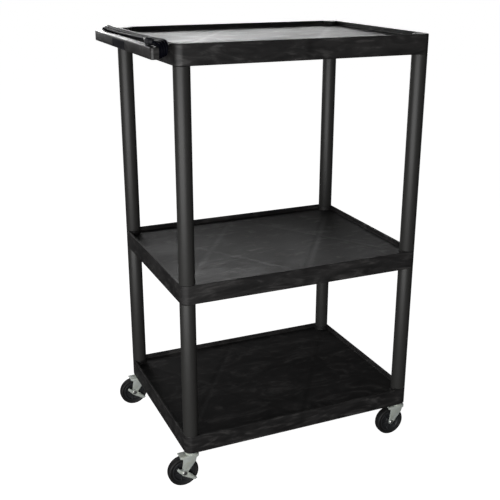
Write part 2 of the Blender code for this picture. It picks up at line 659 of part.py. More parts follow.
def caster_stem():
    """Stem pressed into the corner post, its flange, and the riveted kingpin below."""
    flange_low = CROWN_TOP + 0.0067
    profile = [(0, STEM_TOP), (STEM_RADIUS - 0.0015, STEM_TOP), (STEM_RADIUS, STEM_TOP - 0.002),
               (STEM_RADIUS, BOTTOM_SHELF_Z - GAP), (0.0175, BOTTOM_SHELF_Z - GAP), (0.0175, flange_low),
               (KINGPIN_RADIUS, flange_low), (KINGPIN_RADIUS, CROWN_BOTTOM - GAP),
               (0.0095, CROWN_BOTTOM - GAP), (0.0090, CROWN_BOTTOM - 0.0025), (0.0050, CROWN_BOTTOM - 0.0035),
               (0, CROWN_BOTTOM - 0.0035)]
    return evaluated_mesh(turned(profile, 16))


def swivel_race():
    """Pressed ball race between the crown and the stem's flange."""
    low = CROWN_TOP + GAP
    high = CROWN_TOP + 0.0067 - GAP
    bore = KINGPIN_RADIUS + GAP
    profile = [(0.0165, high), (0.0192, high - 0.0012), (0.0200, high - 0.0028), (0.0200, low), (bore, low),
               (bore, high)]
    return evaluated_mesh(turned(profile, 20, True))


def fork():
    """Pressed fork: a flat crown and two plates that narrow quickly below it and then to the axle."""
    crown_left, crown_right = -TRAIL - 0.0125, 0.022
    shoulder = Vector((0.0095 + TRAIL, 0.0860 - WHEEL_RADIUS))
    tangent = math.degrees(math.atan2(shoulder.y, shoulder.x) - math.acos(AXLE_BOSS / shoulder.length))
    outline = [(crown_left, CROWN_TOP), (crown_right, CROWN_TOP), (crown_right, CROWN_BOTTOM - 0.003),
               (0.0130, 0.0985), (0.0108, 0.0945), (0.0095, 0.0860)]
    outline += arc((-TRAIL, WHEEL_RADIUS), AXLE_BOSS, tangent, -188, 10)
    outline += [(-0.0316, 0.0945), (-0.0335, 0.0985), (crown_left, CROWN_BOTTOM - 0.003)]
    solid = prism([outline[::-1]], -FORK_OUTER, FORK_OUTER, ALONG_Y)
    slot = box((-0.1, -FORK_INNER, 0), (0.1, FORK_INNER, CROWN_BOTTOM))
    kingpin_hole = cylinder(0, 0, KINGPIN_RADIUS + GAP, 0.09, 0.12, 16)
    axle_hole = moved(cylinder(0, 0, AXLE_RADIUS + GAP, -0.03, 0.03, 16), ABOUT_AXLE)
    return evaluated_mesh(cut(solid, slot, kingpin_hole, axle_hole))


def wheel_tyre():
    inner = WHEEL_RADIUS - 0.0125
    half = WHEEL_HALF_WIDTH
    side = [(inner, half - 0.002), (WHEEL_RADIUS - 0.006, half), (WHEEL_RADIUS - 0.0022, half - 0.0028),
            (WHEEL_RADIUS, half - 0.0075)]
    profile = side + [(radius, -height) for radius, height in reversed(side)]
    return evaluated_mesh(turned(profile, 28, True), ABOUT_AXLE)


def wheel_hub():
    outer = WHEEL_RADIUS - 0.0125 - GAP
    side = [(0.0063, 0.0138), (0.0110, 0.0138), (0.0125, 0.0060), (0.0300, 0.0060), (0.0330, 0.0102),
            (outer, 0.0102)]
    profile = side + [(radius, -height) for radius, height in reversed(side)]
    return evaluated_mesh(turned(profile, 20, True), ABOUT_AXLE)


def axle_bushing():
    half = FORK_INNER - GAP
    profile = [(0.0060, half), (0.0060, -half), (AXLE_RADIUS + GAP, -half), (AXLE_RADIUS + GAP, half)]
    return evaluated_mesh(turned(profile, 12, True), ABOUT_AXLE)


def hexagon(across, low, high):
    """Hexagonal prism about Z, `across` between its flats."""
    radius = across / 2 / math.cos(math.pi / 6)
    return prism([arc((0, 0), radius, 0, 300, 5)], low, high)


def axle_bolt(seat):
    """Bolt whose head rests at `seat`: on the fork, or on the brake lever that lies against the fork."""
    head = bevelled(hexagon(0.0125, seat, seat + 0.0034), 0.0006, 1, 80)
    shank = cylinder(0, 0, AXLE_RADIUS, -BOLT_THREAD_END, seat + 0.001, 16)
    return evaluated_mesh(join(head, shank), ABOUT_AXLE)


def axle_nut():
    nut = bevelled(hexagon(0.0125, -FORK_OUTER - GAP - 0.0040, -FORK_OUTER - GAP), 0.0006, 1, 80)
    return evaluated_mesh(cut(nut, cylinder(0, 0, AXLE_RADIUS + GAP, -0.03, -0.01, 16)), ABOUT_AXLE)


def brake_lever():
    """Flat lever turning on the axle bolt, its pedal towards the swivel axis."""
    tail, tip = -0.0260, 0.0415
    boss = 0.0098
    lean = math.degrees(math.asin((boss - 0.0052) / abs(tip)))
    outline = arc((tip, 0), 0.0056, -90 + lean, 90 - lean, 6)
    outline += arc((0, 0), boss, 90 - lean, 118, 3)
    outline += arc((tail, 0), 0.0045, 100, 260, 5)
    outline += arc((0, 0), boss, 242, 270 + lean, 3)
    low = FORK_OUTER + GAP
    lever = cut(prism([outline], low, low + LEVER_THICKNESS), cylinder(0, 0, AXLE_RADIUS + GAP, 0, 0.1, 16))
    return evaluated_mesh(lever, ABOUT_AXLE @ Matrix.Rotation(LEVER_ANGLE, 4, "Z"))


def casters():
    stem, race, fork_mesh = caster_stem(), swivel_race(), fork()
    bushing, nut, lever = axle_bushing(), axle_nut(), brake_lever()
    short_bolt = axle_bolt(FORK_OUTER + GAP)
    long_bolt = axle_bolt(FORK_OUTER + GAP + LEVER_THICKNESS + GAP)
    tyre, hub = wheel_tyre(), wheel_hub()
    axle = Vector((-TRAIL, 0, WHEEL_RADIUS))
    for mesh in (bushing, short_bolt, long_bolt, nut, tyre, hub, lever):
        mesh.transform(Matrix.Translation(-axle))
    for corner, (x, y) in CORNERS.items():
        name = f"caster_{corner}"
        swivel = Vector((x, y, 0))
        place_mesh(f"{name}_stem", stem, BRIGHT_STEEL, swivel)
        place_mesh(f"{name}_swivel_race", race, ZINC_PLATE, swivel)
        place_mesh(f"{name}_fork", fork_mesh, ZINC_PLATE, swivel)
        place_mesh(f"{name}_axle_bushing", bushing, BRIGHT_STEEL, swivel + axle)
        bolt = long_bolt if corner in BRAKED else short_bolt
        place_mesh(f"{name}_axle_bolt", bolt, BRIGHT_STEEL, swivel + axle)
        place_mesh(f"{name}_axle_nut", nut, BRIGHT_STEEL, swivel + axle)
        place_mesh(f"{name}_tyre", tyre, WHEEL_RUBBER, swivel + axle)
        place_mesh(f"{name}_hub", hub, HUB_PLASTIC, swivel + axle)
        if corner in BRAKED:
            place_mesh(f"{name}_brake_lever", lever, ZINC_PLATE, swivel + axle)


bottom_shelf()
middle_shelf()
top_shelf()
handle_label()
legs()
outlet_box()
outlet_plate()
receptacles()
plate_screw()
strain_relief()
cord_lead()
cord_hank()
cord_tail()
power_plug()
plug_prongs()
casters()
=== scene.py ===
"""Rolling utility cart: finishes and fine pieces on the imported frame. Metres, +Z up."""
import math
import random

import bmesh
import bpy
from mathutils import Matrix, Vector


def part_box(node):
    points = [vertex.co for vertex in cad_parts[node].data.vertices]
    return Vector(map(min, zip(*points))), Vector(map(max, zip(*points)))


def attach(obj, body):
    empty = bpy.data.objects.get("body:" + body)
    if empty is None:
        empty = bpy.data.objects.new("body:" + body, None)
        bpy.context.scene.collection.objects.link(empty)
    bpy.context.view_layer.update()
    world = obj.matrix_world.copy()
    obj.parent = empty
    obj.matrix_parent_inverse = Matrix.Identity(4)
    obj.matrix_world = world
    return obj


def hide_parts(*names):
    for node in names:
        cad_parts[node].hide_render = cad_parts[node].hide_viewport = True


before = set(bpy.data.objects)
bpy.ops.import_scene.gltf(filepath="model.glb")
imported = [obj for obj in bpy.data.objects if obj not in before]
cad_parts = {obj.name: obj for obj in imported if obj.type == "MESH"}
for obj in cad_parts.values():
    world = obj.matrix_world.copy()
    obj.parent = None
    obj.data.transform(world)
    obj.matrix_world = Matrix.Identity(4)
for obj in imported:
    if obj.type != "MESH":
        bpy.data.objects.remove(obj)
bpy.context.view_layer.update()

# ---- camera, first of all ------------------------------------------------------------------------


def place_camera(position, heading, tilt, roll):
    """heading turns the view from +Y towards +X, tilt looks down, roll turns the frame; all radians."""
    data = bpy.data.cameras.new("camera")
    data.lens = 60.0
    data.sensor_width = 36.0
    data.shift_x = -0.0048
    data.shift_y = -0.0107
    data.clip_end = 400
    camera = bpy.data.objects.new("camera", data)
    turn = Matrix.Rotation(-heading, 4, "Z") @ Matrix.Rotation(math.pi / 2 - tilt, 4, "X")
    camera.matrix_world = Matrix.Translation(position) @ turn @ Matrix.Rotation(roll, 4, "Z")
    bpy.context.scene.collection.objects.link(camera)
    bpy.context.scene.camera = camera


place_camera(position=(-1.0908, -2.4442, 1.5902), heading=0.4148, tilt=0.3326, roll=0.0018)

# ---- places shared with the frame ----------------------------------------------------------------
SHELF_Z = {"bottom_shelf": 0.117, "middle_shelf": 0.6214, "top_shelf": 1.3129}
TOP = SHELF_Z["top_shelf"]
SHELF_HEIGHT = 0.060
DECK_TOP = 0.0455
DECK_THICKNESS = 0.005
GAP = 0.0003                        # left between separate pieces
CENTRE_X = 0.0338
SHELF_HALF_LENGTH = 0.4064
LEFT, RIGHT = CENTRE_X - SHELF_HALF_LENGTH, CENTRE_X + SHELF_HALF_LENGTH
FRONT, BACK = -0.3055, 0.3055
POST = 0.0242
LEG_X = (LEFT + POST, RIGHT - POST)
LEG_Y = (FRONT + POST, BACK - POST)
RAIL_OUTER, RAIL_INNER = LEFT - 0.0676, LEFT - 0.0451
RAIL_BOTTOM, RAIL_TOP = TOP + 0.0205, TOP + 0.053
RAIL_CORNER = 0.009
RAIL_LOW_EDGE, RAIL_HIGH_EDGE = 0.0036, 0.0024      # fillets along the rail
LEG_WALL = 0.0031
LEG_SIDES = 72
SPIGOT_HEIGHT = 0.036
SPIGOT_ROOT = 0.002
RIB_HALF = 0.002                    # half a rib's thickness at its root
RIB_FOOT = 0.016                    # above the shelf's lower edge
SINK_WIDTH = 0.016                  # of the faint sinks over the ribs and their painted shade, to each side
CORD_DIAMETER = 0.0064
CORD_RADIUS = CORD_DIAMETER / 2
WRAP_PITCH = 0.0067
TURNS = 4
FOLD_RADIUS = 0.0193
FOLD_Y = BACK - 0.0005 - FOLD_RADIUS - CORD_RADIUS
FIRST_WRAP = Vector((RAIL_INNER + 0.0270 - CORD_RADIUS, 0, TOP + 0.0490))
WRAP_SLOPE = 0.398
GLAND = Vector((LEFT - 0.0085, 0.2445, TOP + 0.0297))
CORD_EXIT = Vector((GLAND.x, GLAND.y - 0.039, GLAND.z))
PLUG = Vector((RAIL_INNER - 0.0045, -0.224, RAIL_TOP + 0.0103))     # middle of the face with the prongs
BLADE_SIDE, BLADE_RISE = 0.00635, 0.0035
EARTH_DROP = 0.0058
PLUG_TAIL_Y = -0.2705
TRAIL = 0.0297
WHEEL_RADIUS = 0.050
CORNERS = {
    "front_left": (LEG_X[0], LEG_Y[0]),
    "front_right": (LEG_X[1], LEG_Y[0]),
    "rear_left": (LEG_X[0], LEG_Y[1]),
    "rear_right": (LEG_X[1], LEG_Y[1]),
}
BRAKED = ("front_left", "rear_left")


def wrap_height(x):
    return FIRST_WRAP.z + WRAP_SLOPE * (x - FIRST_WRAP.x)


# ---- finishes ------------------------------------------------------------------------------------
class Shade:
    """One output of a finish's nodes, used in ordinary arithmetic."""

    def __init__(self, finish, socket):
        self.finish = finish
        self.socket = socket

    def math(self, operation, *others):
        return self.finish.node("Math", {"operation": operation}, dict(enumerate((self, *others))))

    def __add__(self, other):
        return self.math("ADD", other)

    def __sub__(self, other):
        return self.math("SUBTRACT", other)

    def __rsub__(self, other):
        return self.finish.node("Math", {"operation": "SUBTRACT"}, {0: other, 1: self})

    def __mul__(self, other):
        return self.math("MULTIPLY", other)

    def __truediv__(self, other):
        return self.math("DIVIDE", other)

    def __abs__(self):
        return self.math("ABSOLUTE")

    __radd__ = __add__
    __rmul__ = __mul__


class Finish:
    """A material in the making. node() adds any node, and the short methods add common ones."""

    def __init__(self, name, constants=None):
        self.material = bpy.data.materials.new(name)
        self.material.use_nodes = True
        self.tree = self.material.node_tree
        self.surface = self.tree.nodes["Principled BSDF"]
        for socket, value in (constants or {}).items():
            self.surface.inputs[socket].default_value = value
        self.where = self.node("TexCoord", output="Object")

    def node(self, kind, settings=None, sockets=None, output=0):
        made = self.tree.nodes.new("ShaderNode" + kind)
        for name, value in (settings or {}).items():
            setattr(made, name, value)
        for name, value in (sockets or {}).items():
            if isinstance(value, Shade):
                self.tree.links.new(value.socket, made.inputs[name])
            else:
                made.inputs[name].default_value = value
        return Shade(self, made.outputs[output])

    def stretched(self, x, y, z, where=None):
        return self.node("VectorMath", {"operation": "MULTIPLY"}, {0: where or self.where, 1: (x, y, z)})

    def noise(self, scale, detail=2.0, roughness=0.5, distortion=0.0, where=None):
        sockets = {"Vector": where or self.where, "Scale": scale, "Detail": detail,
                   "Roughness": roughness, "Distortion": distortion}
        return self.node("TexNoise", None, sockets)

    def axis(self, letter, where=None):
        return self.node("SeparateXYZ", None, {0: where or self.where}, letter)

    def step(self, value, low, high):
        """0 below low, 1 above high, smooth between; low above high turns it round."""
        return self.node("MapRange", {"interpolation_type": "SMOOTHSTEP"},
                         {"Value": value, "From Min": low, "From Max": high})

    def mix(self, factor, first, second):
        colours = [(*colour, 1.0) if isinstance(colour, tuple) and len(colour) == 3 else colour
                   for colour in (first, second)]
        return self.node("Mix", {"data_type": "RGBA"}, {0: factor, 6: colours[0], 7: colours[1]}, 2)

    def paint(self, colour=None, roughness=None, metallic=None, height=None, relief=0.001):
        """Feeds the surface. height is in units of `relief` metres."""
        for name, value in (("Base Color", colour), ("Roughness", roughness), ("Metallic", metallic)):
            if isinstance(value, Shade):
                self.tree.links.new(value.socket, self.surface.inputs[name])
            elif value is not None:
                self.surface.inputs[name].default_value = value
        if height is not None:
            bump = self.node("Bump", None, {"Strength": 1.0, "Distance": relief, "Height": height})
            self.tree.links.new(bump.socket, self.surface.inputs["Normal"])
        return self.material


def rib_lines(finish, width):
    """1 over the two crossed pairs of ribs under a deck, fading to 0 at `width` from their lines."""
    half = SHELF_HALF_LENGTH / 2
    across = abs(abs(finish.axis("X") - CENTRE_X) - half) / half
    along = abs(finish.axis("Y")) / BACK
    to_metres = half * BACK / math.hypot(half, BACK)
    return finish.step(abs(across - along) * to_metres, width, 0.0)


def moulded_foam(name):
    """Black structural-foam moulding: satin, with the swirls the foam leaves as it fills the mould,
    faint sinks over the ribs with painted shade darkening their colour, and a rail worn smoother by hands."""
    finish = Finish(name, {"IOR": 1.50, "Specular IOR Level": 0.5})
    flow = finish.noise(2.2, 3, 0.55, 1.6, finish.stretched(1.0, 2.6, 3.0))
    swirl = finish.noise(7.0, 5, 0.62, 2.6, finish.stretched(0.8, 1.7, 4.0))
    streak = finish.noise(26.0, 4, 0.60, 1.2, finish.stretched(0.35, 1.0, 1.6))
    pebble = finish.noise(950.0, 2, 0.5)
    cloud = finish.step(flow * 0.45 + swirl * 0.55, 0.34, 0.66)
    bright = finish.step(swirl * 0.6 + streak * 0.4, 0.50, 0.68)
    rubbed = finish.step(finish.noise(60.0, 5, 0.7, 0.4, finish.stretched(1.0, 0.12, 1.0)), 0.60, 0.78)
    colour = finish.mix(cloud, (0.0085, 0.0080, 0.0082), (0.0320, 0.0302, 0.0300))
    colour = finish.mix(bright * 0.70 + rubbed * 0.25, colour, (0.098, 0.094, 0.092))
    worn_smooth = finish.step(finish.axis("X"), RAIL_INNER + 0.004, RAIL_INNER - 0.002)
    roughness = 0.46 + 0.14 * cloud - 0.12 * bright + 0.05 * pebble - 0.19 * worn_smooth
    height = pebble * 0.030 + streak * 0.10 + swirl * 0.45
    sink_and_painted_shade = rib_lines(finish, SINK_WIDTH)
    height = height - sink_and_painted_shade * 0.55
    roughness = roughness - sink_and_painted_shade * 0.05
    # the sinks are also darkened in colour: painted shade in the shallow dips over the ribs
    colour = finish.mix(sink_and_painted_shade * 0.35, colour, (0.0085, 0.0080, 0.0080))
    return finish.paint(colour, roughness, None, height, 0.0011)


def extruded_tube(name):
    """Charcoal tube: even satin with faint drawing lines along its length and a few scuffs."""
    finish = Finish(name, {"IOR": 1.50})
    lines = finish.noise(340.0, 2, 0.5, 0.0, finish.stretched(1.0, 1.0, 0.012))
    cloud = finish.noise(5.0, 3, 0.5, 0.6, finish.stretched(1.0, 1.0, 0.5))
    grain = finish.noise(1100.0, 2)
    scuff = finish.step(finish.noise(42.0, 6, 0.72, 0.8, finish.stretched(1.0, 1.0, 0.25)), 0.62, 0.76)
    colour = finish.mix(cloud, (0.034, 0.0335, 0.0320), (0.046, 0.0455, 0.0435))
    colour = finish.mix(scuff * 0.35, colour, (0.075, 0.074, 0.070))
    roughness = 0.38 + 0.08 * cloud + 0.07 * scuff + 0.03 * lines
    return finish.paint(colour, roughness, None, lines * 0.10 + grain * 0.05 + scuff * 0.06, 0.0006)


def zinc_plate(name):
    """Pressed steel under bright zinc: cool grey with a faint green and straw bloom, fine scratches."""
    finish = Finish(name)
    bloom = finish.noise(46.0, 4, 0.6, 1.5)
    straw = finish.step(finish.noise(70.0, 3, 0.55, 0.8), 0.42, 0.70)
    brush = finish.noise(900.0, 3, 0.6, 0.2, finish.stretched(1.0, 1.0, 0.08))
    pits = finish.step(finish.noise(620.0, 3, 0.6), 0.62, 0.80)
    colour = finish.mix(bloom, (0.62, 0.68, 0.64), (0.88, 0.93, 0.88))
    colour = finish.mix(straw * 0.30, colour, (0.74, 0.75, 0.54))
    colour = finish.mix(pits * 0.4, colour, (0.30, 0.32, 0.30))
    roughness = 0.27 + 0.16 * bloom + 0.08 * brush + 0.15 * pits
    return finish.paint(colour, roughness, 0.25, brush * 0.10 + bloom * 0.25 - pits * 0.25, 0.0004)


def turned_steel(name):
    """Plated fasteners and pins: bright, faint tool rings, a little dulled in patches."""
    finish = Finish(name)
    dull = finish.noise(160.0, 4, 0.6, 0.5)
    rings = finish.noise(1600.0, 1, 0.5, 0.0, finish.stretched(0.2, 1.0, 0.2))
    colour = finish.mix(dull, (0.46, 0.46, 0.45), (0.74, 0.74, 0.72))
    return finish.paint(colour, 0.22 + 0.22 * dull, 1.0, rings * 0.12 + dull * 0.1, 0.0003)


def wheel_rubber(name):
    """Black rubber tyre: dull tread with fine dust in it, smoother walls."""
    finish = Finish(name, {"IOR": 1.48})
    dust = finish.step(finish.noise(120.0, 5, 0.65, 0.7), 0.45, 0.75)
    grain = finish.noise(1500.0, 2)
    worn = finish.noise(24.0, 3, 0.5, 0.5)
    colour = finish.mix(worn, (0.0085, 0.0085, 0.0088), (0.0150, 0.0152, 0.0155))
    colour = finish.mix(dust * 0.30, colour, (0.040, 0.040, 0.038))
    return finish.paint(colour, 0.52 + 0.14 * dust + 0.06 * grain, None, grain * 0.20 + worn * 0.15, 0.0004)


def hub_moulding(name):
    """Dark grey moulded hub with a fine grain."""
    finish = Finish(name, {"IOR": 1.50})
    cloud = finish.noise(55.0, 3, 0.55, 0.8)
    grain = finish.noise(1300.0, 2)
    colour = finish.mix(cloud, (0.016, 0.017, 0.019), (0.032, 0.034, 0.037))
    return finish.paint(colour, 0.40 + 0.12 * cloud, None, grain * 0.15 + cloud * 0.2, 0.0003)


def cord_jacket(name):
    """Blue-black cord jacket: soft sheen, faint mould lines and rubbed patches."""
    finish = Finish(name, {"IOR": 1.50, "Specular IOR Level": 0.035})
    rubbed = finish.step(finish.noise(36.0, 5, 0.65, 0.6), 0.48, 0.72)
    grain = finish.noise(1400.0, 2)
    waves = finish.noise(210.0, 2, 0.5, 0.0, finish.stretched(1.0, 0.10, 1.0))
    colour = finish.mix(rubbed, (0.0045, 0.0048, 0.0085), (0.0140, 0.0150, 0.0230))
    return finish.paint(colour, 0.44 + 0.12 * rubbed, None, grain * 0.12 + waves * 0.20, 0.0004)


def plug_vinyl(name):
    """Moulded black vinyl of the plug and strain relief."""
    finish = Finish(name, {"IOR": 1.50})
    cloud = finish.noise(90.0, 4, 0.6, 0.7)
    grain = finish.noise(1800.0, 2)
    colour = finish.mix(cloud, (0.0090, 0.0090, 0.0115), (0.0210, 0.0215, 0.0260))
    return finish.paint(colour, 0.38 + 0.14 * cloud, None, grain * 0.2, 0.0003)


def label_plate(name):
    """Blank plate with a slightly lighter printed border."""
    finish = Finish(name, {"IOR": 1.48, "Specular IOR Level": 0.03})
    low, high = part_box("handle_label")
    border = 0.0022
    inside = None
    for letter, axis in (("Y", 1), ("Z", 2)):
        place = finish.axis(letter)
        edge = finish.step(place, low[axis] + border, low[axis] + border + 0.0004)
        edge = edge * finish.step(place, high[axis] - border, high[axis] - border - 0.0004)
        inside = edge if inside is None else inside * edge
    scratch = finish.step(finish.noise(160.0, 5, 0.7, 0.2, finish.stretched(1.0, 0.15, 1.0)), 0.60, 0.74)
    colour = finish.mix(inside, (0.016, 0.016, 0.024), (0.0030, 0.0028, 0.0062))
    colour = finish.mix(scratch * 0.25, colour, (0.050, 0.050, 0.060))
    grain = finish.noise(700.0, 2)
    roughness = 0.52 + 0.10 * scratch + 0.06 * grain
    return finish.paint(colour, roughness, None, inside * -0.3 + grain * 0.06, 0.0003)


def outlet_moulding(name):
    """Glass-filled plastic of the outlets and their box."""
    finish = Finish(name, {"IOR": 1.50})
    cloud = finish.noise(60.0, 3, 0.5, 0.5)
    grain = finish.noise(1200.0, 2)
    colour = finish.mix(cloud, (0.024, 0.024, 0.025), (0.046, 0.046, 0.048))
    return finish.paint(colour, 0.38 + 0.14 * cloud, None, grain * 0.2, 0.0003)


FOAM = moulded_foam("moulded_foam")
TUBE = extruded_tube("extruded_tube")
ZINC = zinc_plate("zinc_plate")
STEEL = turned_steel("turned_steel")
RUBBER = wheel_rubber("wheel_rubber")
HUB = hub_moulding("hub_moulding")
JACKET = cord_jacket("cord_jacket")
VINYL = plug_vinyl("plug_vinyl")
LABEL = label_plate("label_plate")
OUTLET = outlet_moulding("outlet_moulding")


# ---- making pieces -------------------------------------------------------------------------------
def arc(centre, radius, start, end, steps):
    points = []
    for step in range(steps + 1):
        angle = math.radians(start + (end - start) * step / steps)
        points.append((centre[0] + radius * math.cos(angle), centre[1] + radius * math.sin(angle)))
    return points


def lofted(work, rings, capped=True):
    """Adds a skin through rings of points, all of one length, with flat ends."""
    rows = [[work.verts.new(point) for point in ring] for ring in rings]
    count = len(rows[0])
    for first, second in zip(rows, rows[1:]):
        for index in range(count):
            after = (index + 1) % count
            work.faces.new((first[index], first[after], second[after], second[index]))
    if capped:
        work.faces.new(rows[0])
        work.faces.new(rows[-1])
    else:
        for index in range(count):
            after = (index + 1) % count
            work.faces.new((rows[-1][index], rows[-1][after], rows[0][after], rows[0][index]))
    return work


def turned(work, profile, sides, matrix=Matrix(), ring=False):
    """Adds a profile of (radius, height) turned about Z; a ring's profile closes on itself."""
    rings = []
    for radius, height in profile:
        ring_points = []
        for side in range(sides):
            angle = 2 * math.pi * side / sides
            ring_points.append(matrix @ Vector((radius * math.cos(angle), radius * math.sin(angle), height)))
        rings.append(ring_points)
    return lofted(work, rings, capped=not ring)


def filleted(profile, cuts, steps=3):
    """A profile with chosen corners rounded: cuts maps a point's index to its radius."""
    points = [Vector(point) for point in profile]
    count = len(points)
    result = []
    for index, point in enumerate(points):
        radius = cuts.get(index, 0) if isinstance(cuts, dict) else cuts
        before, after = points[index - 1], points[(index + 1) % count]
        if not radius:
            result.append(tuple(point))
            continue
        back, ahead = (before - point).normalized(), (after - point).normalized()
        half = back.angle(ahead) / 2
        reach = min(radius / math.tan(half), (before - point).length * 0.49, (after - point).length * 0.49)
        start, end = point + back * reach, point + ahead * reach
        for step in range(steps + 1):
            t = step / steps
            result.append(tuple(start * (1 - t) ** 2 + point * 2 * t * (1 - t) + end * t ** 2))
    return result


def finished(work, name, body, material, replaced=(), sharp=32):
    """Turns the work into a piece that rides on a body and stands for the replaced nodes."""
    bmesh.ops.remove_doubles(work, verts=work.verts, dist=0.000002)
    bmesh.ops.recalc_face_normals(work, faces=work.faces)
    mesh = bpy.data.meshes.new(name)
    work.to_mesh(mesh)
    work.free()
    return adopted(mesh, name, body, material, replaced, sharp)


def adopted(mesh, name, body, material, replaced=(), sharp=32):
    mesh.materials.clear()
    mesh.materials.append(material)
    mesh.shade_smooth()
    mesh.set_sharp_from_angle(angle=math.radians(sharp))
    piece = bpy.data.objects.new(name, mesh)
    bpy.context.scene.collection.objects.link(piece)
    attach(piece, body)
    if replaced:
        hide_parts(*replaced)
    return piece


def solid(work):
    """The work as an object that Booleans and bevels can be applied to."""
    bmesh.ops.recalc_face_normals(work, faces=work.faces)
    mesh = bpy.data.meshes.new("solid")
    work.to_mesh(mesh)
    work.free()
    item = bpy.data.objects.new("solid", mesh)
    bpy.context.scene.collection.objects.link(item)
    return item


def applied(item):
    """The item's mesh with its modifiers applied; the item is removed."""
    bpy.context.view_layer.update()
    graph = bpy.context.evaluated_depsgraph_get()
    mesh = bpy.data.meshes.new_from_object(item.evaluated_get(graph))
    bpy.data.objects.remove(item, do_unlink=True)
    return mesh


def trimmed(item, operation, tools):
    for tool in tools:
        cut = item.modifiers.new("trim", "BOOLEAN")
        cut.operation = operation
        cut.object = tool
    mesh = applied(item)
    for tool in tools:
        bpy.data.objects.remove(tool, do_unlink=True)
    work = bmesh.new()
    work.from_mesh(mesh)
    bmesh.ops.remove_doubles(work, verts=work.verts, dist=0.000005)
    bmesh.ops.dissolve_limit(work, angle_limit=0.0005, verts=work.verts, edges=work.edges)
    return solid(work)


def edged(item, width, segments=2, angle=30):
    bevel = item.modifiers.new("edges", "BEVEL")
    bevel.width = width
    bevel.segments = segments
    bevel.limit_method = "ANGLE"
    bevel.angle_limit = math.radians(angle)
    bevel.harden_normals = False
    return applied(item)


def slab(outline, low, high, matrix=Matrix()):
    """An outline in X, Y thickened from low to high along Z, then moved by the matrix."""
    work = bmesh.new()
    rings = [[matrix @ Vector((u, v, z)) for u, v in outline] for z in (low, high)]
    return lofted(work, rings)


ABOUT_X = Matrix(((0, 0, 1, 0), (1, 0, 0, 0), (0, 1, 0, 0), (0, 0, 0, 1)))
ABOUT_Y = Matrix(((1, 0, 0, 0), (0, 0, -1, 0), (0, 1, 0, 0), (0, 0, 0, 1)))


# ---- cord, first of the pieces -------------------------------------------------------------------
def wound_cord():
    """The cord's middle line: out of the relief, round both arms four times, and on to the plug."""
    drift = random.Random(4)
    waver = [drift.uniform(-1, 1) for _ in range(24)]

    def run(start_y, end_y, x0, x1, z0, z1, sag, steps, seed):
        points = []
        for step in range(1, steps):
            t = step / steps
            hang = 4 * t * (1 - t)
            shift = 0.0006 * waver[seed % 24] * math.sin(3 * math.pi * t) * hang
            lift = 0.0009 * waver[(seed + 7) % 24] * math.sin(2 * math.pi * t) - sag * hang
            ease = t * t * (3 - 2 * t)
            points.append((x0 + (x1 - x0) * ease + shift, start_y + (end_y - start_y) * t,
                           z0 + (z1 - z0) * t + lift))
        return points

    def fold(x, side, start, end, steps=7):
        z = wrap_height(x)
        return [(x, y, height) for y, height in arc((side * FOLD_Y, z), FOLD_RADIUS, start, end, steps)]

    route = [tuple(CORD_EXIT)]
    for back in (0.013, 0.026):
        route.append((CORD_EXIT.x, CORD_EXIT.y - back, CORD_EXIT.z - 0.0002))
    x = FIRST_WRAP.x
    low = wrap_height(x) - FOLD_RADIUS
    start = route[-1]
    route += run(start[1], -FOLD_Y, start[0], x, start[2], low, 0.0016, 9, 1)
    for turn in range(TURNS):
        x = FIRST_WRAP.x - turn * WRAP_PITCH
        if turn < TURNS - 1:
            route += fold(x, -1, -90, -270)
            after = x - WRAP_PITCH
            high = wrap_height(x) + FOLD_RADIUS
            high_after = wrap_height(after) + FOLD_RADIUS
            route += run(-FOLD_Y, FOLD_Y, x, after, high, high_after, 0.0022, 10, 3 * turn + 2)
            route += fold(after, 1, 90, -90)
            low_after = wrap_height(after) - FOLD_RADIUS
            route += run(FOLD_Y, -FOLD_Y, after, after, low_after, low_after, 0.0018, 10, 3 * turn + 4)
        else:
            route += fold(x, -1, -90, -230, 6)
    start = Vector(route[-1])
    for t in (0.25, 0.5, 0.75, 1.0):
        ease = t * t * (3 - 2 * t)
        route.append((start.x + (PLUG.x - start.x) * ease, start.y + (PLUG_TAIL_Y - 0.0010 - start.y) * t,
                      start.z + (PLUG.z - start.z) * (1 - (1 - t) ** 2)))
    return route


def draw_cord():
    data = bpy.data.curves.new("power_cord", "CURVE")
    data.dimensions = "3D"
    data.bevel_depth = CORD_RADIUS
    data.bevel_resolution = 6
    data.resolution_u = 5
    data.use_fill_caps = True
    route = wound_cord()
    spline = data.splines.new("BEZIER")
    spline.bezier_points.add(len(route) - 1)
    for knot, point in zip(spline.bezier_points, route):
        knot.co = point
        knot.handle_left_type = "AUTO"
        knot.handle_right_type = "AUTO"
    data.materials.append(JACKET)
    cord = bpy.data.objects.new("power_cord", data)
    bpy.context.scene.collection.objects.link(cord)
    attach(cord, "cart")
    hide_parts("cord_lead", "cord_hank", "cord_tail")
    return cord


